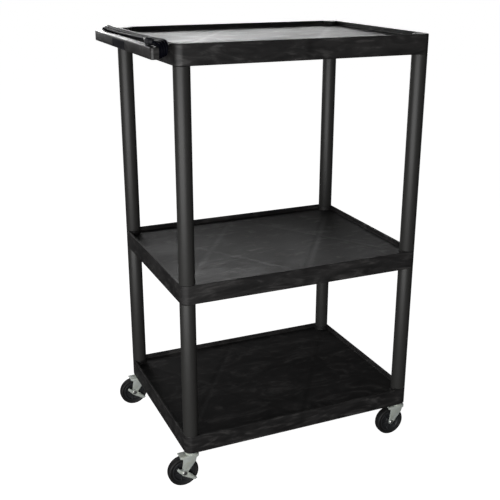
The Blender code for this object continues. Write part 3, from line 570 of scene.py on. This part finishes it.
def plug_body():
    """Moulded plug: a blunt face, a waist with finger ridges and a ringed tail."""
    def outline(width, height, radius):
        corner = min(radius, width / 2 - 0.0001, height / 2 - 0.0001)
        points = []
        for quarter, (sx, sz) in enumerate(((1, 1), (-1, 1), (-1, -1), (1, -1))):
            centre = (sx * (width / 2 - corner), sz * (height / 2 - corner))
            points += arc(centre, corner, 90 * quarter, 90 * quarter + 90, 6)
        return points

    shape = [(0.0000, 0.0178, 0.0166, 0.0050), (0.0003, 0.0190, 0.0178, 0.0055),
             (0.0010, 0.0206, 0.0192, 0.0060), (0.0022, 0.0215, 0.0200, 0.0062),
             (0.0080, 0.0215, 0.0200, 0.0062), (0.0098, 0.0209, 0.0196, 0.0062)]
    for ridge in range(5):
        start = 0.0106 + ridge * 0.0032
        width = 0.0193 + 0.0002 * ridge
        shape += [(start, width, 0.0184, 0.0064), (start + 0.0010, width - 0.0014, 0.0172, 0.0060),
                  (start + 0.0018, width - 0.0014, 0.0172, 0.0060), (start + 0.0026, width, 0.0184, 0.0064)]
    shape += [(0.0268, 0.0204, 0.0194, 0.0070), (0.0288, 0.0190, 0.0180, 0.0072),
              (0.0310, 0.0160, 0.0152, 0.0070), (0.0334, 0.0128, 0.0122, 0.0058)]
    for ring in range(4):
        start = 0.0342 + ring * 0.0031
        size = 0.0116 - 0.0007 * ring
        shape += [(start, size, size, size / 2), (start + 0.0018, size, size, size / 2),
                  (start + 0.0021, size - 0.0022, size - 0.0022, size / 2),
                  (start + 0.0029, size - 0.0022, size - 0.0022, size / 2)]
    shape += [(0.0467, 0.0076, 0.0076, 0.0038)]
    work = bmesh.new()
    lofted(work, [[(PLUG.x + u, PLUG.y - back, PLUG.z + v) for u, v in outline(width, height, radius)]
                  for back, width, height, radius in shape])
    return finished(work, "plug_body", "cart", VINYL, ("power_plug",))


def prongs():
    for side in (-1, 1):
        outline = [(-0.0046, -0.0032), (0.0150, -0.0032), (0.0166, -0.0018),
                   (0.0166, 0.0018), (0.0150, 0.0032), (-0.0046, 0.0032)]
        root = PLUG + Vector((side * BLADE_SIDE, 0, BLADE_RISE))
        face = Matrix.Translation(root) @ ABOUT_X
        blade = solid(slab(outline, -0.00078, 0.00078, face))
        across = Matrix.Translation(root + Vector((0, 0.0125, 0))) @ ABOUT_X
        hole = solid(turned(bmesh.new(), [(0.0015, 0.01), (0.0015, -0.01)], 20, across))
        node = "plug_blade_left" if side < 0 else "plug_blade_right"
        mesh = edged(trimmed(blade, "DIFFERENCE", [hole]), 0.0002, 1)
        adopted(mesh, node + "_piece", "cart", STEEL, (node,))
    pin = [(0.0004, 0.0186), (0.0012, 0.0183), (0.0019, 0.0174), (0.0023, 0.0160), (0.0024, 0.0140),
           (0.0024, -0.0046)]
    towards_back = Matrix.Rotation(-math.pi / 2, 4, "X")
    work = turned(bmesh.new(), pin, 24, Matrix.Translation(PLUG - Vector((0, 0, EARTH_DROP))) @ towards_back)
    finished(work, "plug_earth_pin_piece", "cart", STEEL, ("plug_earth_pin",))


cord = draw_cord()
plug = plug_body()
prongs()


# ---- shelves -------------------------------------------------------------------------------------
ARC_STEPS = 18


def outer_ring(inset, z):
    points = []
    for quarter, corner in enumerate(("rear_right", "rear_left", "front_left", "front_right")):
        points += arc(CORNERS[corner], POST - inset, 90 * quarter, 90 * quarter + 90, ARC_STEPS)
    return [(x, y, z) for x, y in points]


def inner_ring(wall, spread, z):
    """Outline inside the walls, round the corner posts; spread moves it off the walls and posts."""
    radius = POST + spread
    meet = math.degrees(math.acos((POST - wall - spread) / radius))
    points = []
    for quarter, corner in enumerate(("rear_right", "rear_left", "front_left", "front_right")):
        turn = 90 * quarter
        points += arc(CORNERS[corner], radius, turn - meet, turn + meet - 270, ARC_STEPS)
    return [(x, y, z) for x, y in points]


def quarter_turn(radius, steps=4):
    """(aside, along) pairs round a fillet, from along the first face to along the second."""
    angles = [math.pi / 2 * step / steps for step in range(steps + 1)]
    return [(radius * (1 - math.cos(angle)), radius * (1 - math.sin(angle))) for angle in angles]


def tray(work, base):
    """Skirt, rim, corner posts and deck with every edge softened."""
    rim, skirt, flat = 0.0085, 0.0060, 0.0008
    under = base + DECK_TOP - DECK_THICKNESS
    deck = base + DECK_TOP
    top = base + SHELF_HEIGHT
    rings = [inner_ring(skirt, 0.0030, under), inner_ring(skirt, 0.0020, under)]
    for aside, along in quarter_turn(0.0020):
        rings.append(inner_ring(skirt, along, under - aside))
    rings += [inner_ring(skirt, 0.0, under - 0.0028), inner_ring(skirt, 0.0, base + 0.0018)]
    for aside, along in quarter_turn(0.0010):
        rings.append(inner_ring(skirt, -aside, base + along))
    rings += [inner_ring(skirt, -0.0018, base), outer_ring(0.0028, base)]
    for aside, along in quarter_turn(0.0020):
        rings.append(outer_ring(along, base + aside))
    rings += [outer_ring(0.0, base + 0.0028), outer_ring(0.0, top - 0.0036)]
    for aside, along in quarter_turn(0.0028):
        rings.append(outer_ring(aside, top - along))
    rings += [outer_ring(0.0028 + flat, top), inner_ring(rim, -0.0022 - flat, top)]
    for aside, along in quarter_turn(0.0022):
        rings.append(inner_ring(rim, -along, top - aside))
    rings += [inner_ring(rim, 0.0, top - 0.0030), inner_ring(rim, 0.0, deck + 0.0038)]
    for aside, along in quarter_turn(0.0030):
        rings.append(inner_ring(rim, aside, deck + along))
    rings += [inner_ring(rim, 0.0038, deck)]
    lofted(work, rings)


def rib_between(work, start, end, low, high, half):
    """A stiffening rib with a little draft."""
    start, end = Vector(start), Vector(end)
    along = (end - start).normalized()
    side = Vector((-along.y, along.x))
    rings = []
    for z, width in ((low, half * 0.75), (low + 0.0006, half), (high, half * 1.25)):
        rings.append([(*(start + side * width), z), (*(end + side * width), z),
                      (*(end - side * width), z), (*(start - side * width), z)])
    lofted(work, rings)


def ribs(work, base, clear_of_box):
    """Two crossed pairs: each half of the shelf has its two diagonals."""
    low, high = base + RIB_FOOT, base + DECK_TOP - DECK_THICKNESS + 0.001
    inset = 0.006
    for half in (-1, 1):
        for side in (-1, 1):
            corner = Vector((CENTRE_X + half * SHELF_HALF_LENGTH, side * BACK))
            middle = Vector((CENTRE_X, -side * BACK))
            along = (middle - corner).normalized()
            start, end = corner + along * 0.012, middle - along * inset
            if clear_of_box and half < 0 and side > 0:
                high_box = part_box("outlet_box")[1]
                clear = 0.002
                stop = corner + along * ((BACK - high_box.y - clear) / -along.y)
                rib_between(work, start, stop, low, high, RIB_HALF)
                start = corner + along * ((high_box.x + clear - corner.x) / along.x)
            rib_between(work, start, end, low, high, RIB_HALF)


def spigot(work, x, y, low, high):
    inner, outer = 0.0155, 0.0208
    profile = filleted([(outer, low), (outer, high), (inner, high), (inner, low)], {0: 0.001, 1: 0.001}, 2)
    turned(work, profile, 36, Matrix.Translation((x, y, 0)), ring=True)


def rail(work):
    """Handle rail: round at its two outer corners, softened along every edge."""
    def ring(outside, inside, z):
        radius = RAIL_CORNER - outside
        points = arc((RAIL_OUTER + RAIL_CORNER, FRONT + RAIL_CORNER), radius, 270, 180, 10)
        points += arc((RAIL_OUTER + RAIL_CORNER, BACK - RAIL_CORNER), radius, 180, 90, 10)
        points += [(RAIL_INNER - inside, BACK - outside), (RAIL_INNER - inside, FRONT + outside)]
        return [(x, y, z) for x, y in points]

    rings = [ring(0.0042, 0.0020, RAIL_BOTTOM)]
    for aside, along in quarter_turn(RAIL_LOW_EDGE, 5):
        rings.append(ring(along, along * 0.5, RAIL_BOTTOM + aside))
    rings += [ring(0, 0, RAIL_BOTTOM + 0.0042), ring(0, 0, RAIL_TOP - 0.0030)]
    for aside, along in quarter_turn(RAIL_HIGH_EDGE, 6):
        rings.append(ring(aside, aside * 0.6, RAIL_TOP - along))
    rings += [ring(0.0030, 0.0020, RAIL_TOP)]
    low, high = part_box("handle_label")
    pocket = slab([(low.y - 0.0004, low.z - 0.0004), (high.y + 0.0004, low.z - 0.0004),
                   (high.y + 0.0004, high.z + 0.0004), (low.y - 0.0004, high.z + 0.0004)],
                  RAIL_OUTER - 0.01, RAIL_OUTER + 0.0010, ABOUT_X)
    cut = trimmed(solid(lofted(bmesh.new(), rings)), "DIFFERENCE", [solid(pocket)])
    work.from_mesh(cut.data)
    bpy.data.objects.remove(cut, do_unlink=True)


def arm(work, side):
    """Sloping arm with a round nose for the cord's folds, lowered to the rim next to the shelf."""
    radius = FOLD_RADIUS - CORD_RADIUS - 0.0005
    heel = side * (FOLD_Y - 0.020)
    top = wrap_height(RAIL_INNER + 0.0265) + radius
    nose = arc((side * FOLD_Y, 0.0), radius, 90 * side, -90 * side, 24)
    outline = filleted(nose + [(heel, -radius), (heel, radius)], {len(nose): 0.003, len(nose) + 1: 0.003}, 3)
    rings = []
    past_cord = RAIL_INNER + 0.0278
    low_top = TOP + SHELF_HEIGHT - 0.0015
    places = [(RAIL_INNER - 0.004 + (past_cord + 0.004 - RAIL_INNER) * step / 5, top) for step in range(6)]
    places += [(past_cord + 0.0002, low_top), (LEFT + 0.004, low_top)]
    for x, limit in places:
        rings.append([(x, y, min(z + wrap_height(x), limit)) for y, z in outline])
    lofted(work, rings)


def shelf(name):
    work = bmesh.new()
    base = SHELF_Z[name]
    tray(work, base)
    ribs(work, base, name == "top_shelf")
    for x, y in CORNERS.values():
        if name != "top_shelf":
            spigot(work, x, y, base + SHELF_HEIGHT - SPIGOT_ROOT, base + SHELF_HEIGHT + SPIGOT_HEIGHT)
        if name != "bottom_shelf":
            spigot(work, x, y, base - SPIGOT_HEIGHT, base + SPIGOT_ROOT)
    if name == "top_shelf":
        rail(work)
        arm(work, -1)
        arm(work, 1)
    finished(work, name + "_moulding", "cart", FOAM, (name,), 28)


for shelf_name in SHELF_Z:
    shelf(shelf_name)


# ---- legs and label ------------------------------------------------------------------------------
def legs():
    spans = {"lower_leg": (SHELF_Z["bottom_shelf"] + SHELF_HEIGHT, SHELF_Z["middle_shelf"]),
             "upper_leg": (SHELF_Z["middle_shelf"] + SHELF_HEIGHT, TOP)}
    for name, (low, high) in spans.items():
        low, high = low + GAP, high - GAP
        inner = POST - LEG_WALL
        corners = [(POST, low), (POST, high), (inner, high), (inner, low)]
        profile = filleted(corners, {0: 0.0009, 1: 0.0009, 2: 0.0006, 3: 0.0006}, 3)
        for corner, (x, y) in CORNERS.items():
            work = turned(bmesh.new(), profile, LEG_SIDES, Matrix.Translation((x, y, 0)), ring=True)
            node = f"{name}_{corner}"
            finished(work, node + "_tube", "cart", TUBE, (node,))


def label():
    low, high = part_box("handle_label")
    work = bmesh.new()
    corner = 0.0015
    outline = []
    for quarter, (sy, sz) in enumerate(((1, 1), (-1, 1), (-1, -1), (1, -1))):
        centre = ((high.y if sy > 0 else low.y) - sy * corner, (high.z if sz > 0 else low.z) - sz * corner)
        outline += arc(centre, corner, 90 * quarter, 90 * quarter + 90, 5)
    middle = Vector(((low.y + high.y) / 2, (low.z + high.z) / 2))
    rings = []
    for x, shrink in ((high.x, 1.0), (low.x + 0.0002, 1.0), (low.x, 0.997)):
        rings.append([(x, middle.x + (y - middle.x) * shrink, middle.y + (z - middle.y) * shrink)
                      for y, z in outline])
    lofted(work, rings)
    finished(work, "handle_plate", "cart", LABEL, ("handle_label",))


legs()
label()


# ---- strain relief -------------------------------------------------------------------------------
def strain_relief():
    """Clamp block against the wall and a ringed sleeve that tapers towards the cord."""
    work = bmesh.new()
    front = GLAND.y - 0.009
    high = LEFT - GAP
    low = high - 0.0155
    block = filleted([(low, front), (high, front), (high, front + 0.018), (low, front + 0.018)], 0.0025, 5)
    rings = []
    centre = Vector(((low + high) / 2, front + 0.009))
    for z, inset in ((-0.0095, 0.0012), (-0.0091, 0.0004), (-0.0083, 0), (0.0083, 0), (0.0091, 0.0004),
                     (0.0095, 0.0012)):
        ring = []
        for u, v in block:
            off = Vector((u, v)) - centre
            ring.append((centre.x + off.x * (1 - inset / 0.0078), centre.y + off.y * (1 - inset / 0.009),
                         GLAND.z + z))
        rings.append(ring)
    lofted(work, rings)
    sleeve = [(0.0075, 0.001), (0.0075, -0.0012), (0.0066, -0.0022)]
    for ring in range(6):
        start = 0.0028 + ring * 0.0044
        radius = 0.0062 - 0.00036 * ring
        sleeve += [(radius - 0.0010, -start), (radius, -start - 0.0006), (radius, -start - 0.0024),
                   (radius - 0.0010, -start - 0.0031)]
    sleeve += [(0.0037, -0.0296), (0.0034, -0.0300)]
    towards = Matrix.Translation((GLAND.x, front, GLAND.z)) @ Matrix.Rotation(-math.pi / 2, 4, "X")
    turned(work, [(radius, height) for radius, height in sleeve], 28, towards)
    turned(work, [(0.0045, 0.0), (0.0045, 0.0120)], 24,
           Matrix.Translation((LEFT - 0.003, GLAND.y, GLAND.z)) @ ABOUT_X)
    finished(work, "strain_relief", "cart", VINYL, ("cord_strain_relief",))


strain_relief()


# ---- casters -------------------------------------------------------------------------------------
def fork_mesh():
    """Pressed fork about the swivel axis: bent from one plate, narrowing to the axle."""
    outer, inner, bend = 0.0172, 0.0150, 0.0042
    high, low = 0.1070, 0.1040
    section = [(-outer, 0.03)] + arc((-outer + bend, high - bend), bend, 180, 90, 6)
    section += arc((outer - bend, high - bend), bend, 90, 0, 6) + [(outer, 0.03), (inner, 0.03)]
    small = bend - 0.0026
    section += arc((inner - small, low - small), small, 0, 90, 5)
    section += arc((-inner + small, low - small), small, 90, 180, 5) + [(-inner, 0.03)]
    left, right, boss = -TRAIL - 0.0125, 0.022, 0.0088
    body = solid(slab(section, left - 0.002, right + 0.002, ABOUT_X))
    shoulder = Vector((0.0095 + TRAIL, 0.0860 - WHEEL_RADIUS))
    tangent = math.degrees(math.atan2(shoulder.y, shoulder.x) - math.acos(boss / shoulder.length))
    under = low - 0.003
    side = [(left, 0.110), (right, 0.110), (right, under), (0.0118, 0.0975), (0.0095, 0.0860)]
    side += arc((-TRAIL, WHEEL_RADIUS), boss, tangent, -188, 24)
    side += [(-0.0322, 0.0975), (left, under)]
    last = len(side) - 1
    side = filleted(side, {2: 0.0012, 3: 0.0060, 4: 0.0200, last - 1: 0.0060, last: 0.0012}, 6)
    side_cut = solid(slab(side, -0.03, 0.03, ABOUT_Y))
    plan = filleted([(left, -0.0180), (right, -0.0180), (right, 0.0180), (left, 0.0180)],
                    {0: 0.004, 1: 0.011, 2: 0.011, 3: 0.004}, 6)
    plan_cut = solid(slab(plan, 0.0, 0.2))
    body = trimmed(body, "INTERSECT", [side_cut, plan_cut])
    pin_hole = solid(turned(bmesh.new(), [(0.0063, 0.12), (0.0063, 0.09)], 28))
    axle_hole = solid(turned(bmesh.new(), [(0.0043, 0.03), (0.0043, -0.03)], 24,
                             Matrix.Translation((-TRAIL, 0, WHEEL_RADIUS)) @ ABOUT_Y))
    return edged(trimmed(body, "DIFFERENCE", [pin_hole, axle_hole]), 0.00045, 2, 40)


AXLE = Matrix.Translation((-TRAIL, 0, WHEEL_RADIUS)) @ Matrix.Rotation(math.pi / 2, 4, "X")


def mesh_of(work):
    bmesh.ops.remove_doubles(work, verts=work.verts, dist=0.000002)
    bmesh.ops.recalc_face_normals(work, faces=work.faces)
    mesh = bpy.data.meshes.new("turned")
    work.to_mesh(mesh)
    work.free()
    return mesh


def tyre_mesh():
    """Tyre with a gently crowned tread and a raised bead next to the hub."""
    half = [(0.0376, 0.0100), (0.0390, 0.0108), (0.0402, 0.0108), (0.0412, 0.0116), (0.0440, 0.0124),
            (0.0462, 0.0123), (0.0478, 0.0116), (0.0489, 0.0100), (0.0496, 0.0075), (0.0499, 0.0040),
            (0.0500, 0.0000)]
    profile = half + [(radius, -height) for radius, height in reversed(half[:-1])]
    return mesh_of(turned(bmesh.new(), profile, 72, AXLE, ring=True))


def hub_mesh():
    """Moulded hub: barrel, dished web with spokes, and a flange under the tyre."""
    half = [(0.0063, 0.0136), (0.0066, 0.0138), (0.0104, 0.0138), (0.0110, 0.0134), (0.0122, 0.0062),
            (0.0134, 0.0052), (0.0290, 0.0052), (0.0304, 0.0058), (0.0322, 0.0098), (0.0330, 0.0104),
            (0.0366, 0.0104), (0.0372, 0.0100)]
    profile = half + [(radius, -height) for radius, height in reversed(half)]
    work = turned(bmesh.new(), profile, 60, AXLE, ring=True)
    for spoke in range(6):
        for face in (-1, 1):
            turn = AXLE @ Matrix.Rotation(math.radians(60 * spoke + 15), 4, "Z")
            rings = []
            for radius, half_width, height in ((0.0106, 0.0020, 0.0124), (0.0180, 0.0017, 0.0088),
                                               (0.0260, 0.0017, 0.0080), (0.0318, 0.0022, 0.0094)):
                ring = [(radius, -half_width, 0.0045), (radius, -half_width, height - 0.0004),
                        (radius, -half_width + 0.0004, height), (radius, half_width - 0.0004, height),
                        (radius, half_width, height - 0.0004), (radius, half_width, 0.0045)]
                rings.append([turn @ Vector((u, v, face * w)) for u, v, w in ring])
            lofted(work, rings)
    return mesh_of(work)


def hexagon(work, across, low, high, matrix):
    """Nut or bolt head with its corners turned off."""
    rings = []
    edge = 0.0005
    for z, shrink in ((low, 0.93), (low + edge, 1.0), (high - edge, 1.0), (high, 0.93)):
        radius = across / 2 / math.cos(math.pi / 6) * shrink
        rings.append([matrix @ Vector((u, v, z)) for u, v in arc((0, 0), radius, 0, 300, 5)])
    lofted(work, rings)


def bolt_mesh(seat):
    work = bmesh.new()
    turned(work, [(0.0074, seat), (0.0074, seat + 0.0006), (0.0070, seat + 0.0009)], 36, AXLE)
    hexagon(work, 0.0120, seat + 0.0008, seat + 0.0034, AXLE)
    turned(work, [(0.0040, seat), (0.0040, -0.0222), (0.0034, -0.0227)], 24, AXLE)
    return mesh_of(work)


def nut_mesh():
    work = bmesh.new()
    hexagon(work, 0.0125, -0.0215, -0.0178, AXLE)
    turned(work, [(0.0078, -0.0176), (0.0080, -0.0180), (0.0078, -0.0185)], 36, AXLE)
    return mesh_of(work)


def race_mesh():
    """Ball race: a pressed ring with a rolled lower lip and a groove over the balls."""
    profile = [(0.0063, 0.1073), (0.0190, 0.1073), (0.0198, 0.1077), (0.0200, 0.1084), (0.0198, 0.1091),
               (0.0189, 0.1094), (0.0184, 0.1098), (0.0190, 0.1104), (0.0190, 0.1114), (0.0182, 0.1124),
               (0.0166, 0.1132), (0.0150, 0.1134), (0.0063, 0.1134)]
    return mesh_of(turned(bmesh.new(), profile, 48, ring=True))


def stem_mesh():
    profile = [(0.0004, 0.1600), (0.0060, 0.1600), (0.0078, 0.1584), (0.0078, 0.1170), (0.0170, 0.1167),
               (0.0175, 0.1163), (0.0175, 0.1142), (0.0170, 0.1138), (0.0060, 0.1137), (0.0060, 0.1038),
               (0.0092, 0.1037), (0.0095, 0.1032), (0.0090, 0.1018), (0.0074, 0.1008), (0.0040, 0.1005),
               (0.0004, 0.1005)]
    return mesh_of(turned(bmesh.new(), profile, 40))


LEVER_ANGLE = math.radians(-37)


def lever_mesh():
    """Brake lever: a flat pressing with its pedal edge turned outward."""
    tail, tip, boss = -0.0260, 0.0415, 0.0098
    lean = math.degrees(math.asin((boss - 0.0052) / tip))
    outline = arc((tip, 0), 0.0056, -90 + lean, 90 - lean, 12)
    outline += arc((0, 0), boss, 90 - lean, 118, 6)
    outline += arc((tail, 0), 0.0045, 100, 260, 10)
    outline += arc((0, 0), boss, 242, 270 + lean, 6)
    turn = AXLE @ Matrix.Rotation(LEVER_ANGLE, 4, "Z")
    plate = solid(slab(outline, 0.0175, 0.0197, turn))
    hole = solid(turned(bmesh.new(), [(0.0043, 0.03), (0.0043, 0.0)], 24, AXLE))
    mesh = edged(trimmed(plate, "DIFFERENCE", [hole]), 0.0004, 2, 40)
    work = bmesh.new()
    work.from_mesh(mesh)
    for low_x, high_x in ((0.0130, 0.0462), (-0.0300, -0.0140)):
        rings = []
        for u, v in ((low_x, 0.0), (low_x + 0.001, 0.6), (high_x - 0.002, 1.0), (high_x, 0.75)):
            reach = 0.0060 * v
            ring = [(u, 0.0030, 0.0178), (u, 0.0030, 0.0186 + reach), (u, 0.0035, 0.0192 + reach),
                    (u, 0.0044, 0.0192 + reach), (u, 0.0049, 0.0186 + reach), (u, 0.0049, 0.0178)]
            rings.append([turn @ Vector(point) for point in ring])
        lofted(work, rings)
    return mesh_of(work)


def casters():
    fork, tyre, hub = fork_mesh(), tyre_mesh(), hub_mesh()
    race, stem, nut, lever = race_mesh(), stem_mesh(), nut_mesh(), lever_mesh()
    bolts = {True: bolt_mesh(0.0200), False: bolt_mesh(0.0175)}
    for corner, (x, y) in CORNERS.items():
        node = f"caster_{corner}"
        shift = Matrix.Translation((x, y, 0))

        def fit(mesh, part, body, material, sharp=32):
            copy = mesh.copy()
            copy.transform(shift)
            adopted(copy, f"{part}_{corner}", body, material, (f"{node}_{part}",), sharp)

        fit(stem, "stem", "cart", STEEL)
        fit(race, "swivel_race", node, ZINC)
        fit(fork, "fork", node, ZINC, 40)
        fit(bolts[corner in BRAKED], "axle_bolt", node, STEEL)
        fit(nut, "axle_nut", node, STEEL)
        fit(tyre, "tyre", f"wheel_{corner}", RUBBER, 50)
        fit(hub, "hub", f"wheel_{corner}", HUB, 30)
        if corner in BRAKED:
            fit(lever, "brake_lever", f"brake_{corner}", ZINC, 40)


casters()

# ---- the frame's own nodes that stay -------------------------------------------------------------
for node_name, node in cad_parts.items():
    if node_name.startswith("outlet_plate_screw") or node_name.endswith("_axle_bushing"):
        kept = STEEL
    elif node_name.startswith("outlet"):
        kept = OUTLET
    else:
        continue
    node.data.materials.clear()
    node.data.materials.append(kept)


FLOOR_HALF = 60.0
SURROUND_RADIUS = 55.0
SURROUND_HEIGHT = 110.0


# ---- floor and light -----------------------------------------------------------------------------
def staged(name, mesh, material):
    """Part of the studio: it is seen directly, but isn't mirrored in the cart and casts no light on it."""
    mesh.materials.append(material)
    item = bpy.data.objects.new(name, mesh)
    item.visible_glossy = False
    item.visible_diffuse = False
    bpy.context.scene.collection.objects.link(item)


def floor():
    work = bmesh.new()
    bmesh.ops.create_grid(work, x_segments=1, y_segments=1, size=FLOOR_HALF)
    mesh = bpy.data.meshes.new("studio_floor")
    work.to_mesh(mesh)
    work.free()
    finish = Finish("studio_floor", {"Roughness": 0.9, "Emission Strength": 0.97,
                                     "Emission Color": (1, 1, 1, 1), "Specular IOR Level": 0.0})
    tone = finish.noise(0.6, 2, 0.5)
    staged("studio_floor", mesh, finish.paint(finish.mix(tone, (0.66, 0.66, 0.66), (0.68, 0.68, 0.68))))


def surround():
    """Pale wall round the floor's edge, for low views."""
    work = bmesh.new()
    bmesh.ops.create_cone(work, cap_ends=False, segments=64, radius1=SURROUND_RADIUS,
                          radius2=SURROUND_RADIUS, depth=SURROUND_HEIGHT)
    mesh = bpy.data.meshes.new("studio_surround")
    work.to_mesh(mesh)
    work.free()
    finish = Finish("studio_surround", {"Roughness": 1.0, "Emission Strength": 1.0,
                                        "Emission Color": (1, 1, 1, 1), "Specular IOR Level": 0.0})
    tone = finish.noise(0.02, 2, 0.5)
    staged("studio_surround", mesh, finish.paint(finish.mix(tone, (0.60, 0.60, 0.60), (0.64, 0.64, 0.64))))


def soft_light(name, position, target, width, height, radiance, spread=180):
    data = bpy.data.lights.new(name, "AREA")
    data.spread = math.radians(spread)
    data.shape = "RECTANGLE"
    data.size = width
    data.size_y = height
    data.energy = radiance * math.pi * width * height
    item = bpy.data.objects.new(name, data)
    item.location = position
    aim = Vector(target) - Vector(position)
    item.rotation_euler = aim.to_track_quat("-Z", "Y").to_euler()
    item.visible_camera = False
    bpy.context.scene.collection.objects.link(item)


def studio():
    world = bpy.data.worlds.new("studio")
    world.use_nodes = True
    world.node_tree.nodes["Background"].inputs["Color"].default_value = (1.0, 1.0, 1.0, 1.0)
    world.node_tree.nodes["Background"].inputs["Strength"].default_value = 0.045
    bpy.context.scene.world = world
    bpy.context.scene.view_settings.view_transform = "Standard"
    floor()
    surround()
    soft_light("front_left_softbox", (-2.5, -2.65, 0.75), (0.0, 0.0, 0.65), 4.6, 2.2, 3.7)
    soft_light("back_left_softbox", (-0.9, 3.2, 1.9), (0.0, 0.0, 0.9), 2.0, 1.4, 1.5)
    soft_light("back_strip", (0.55, 1.60, 1.53), (0.12, 0.0, 1.49), 3.2, 0.34, 1.95, 60)


studio()
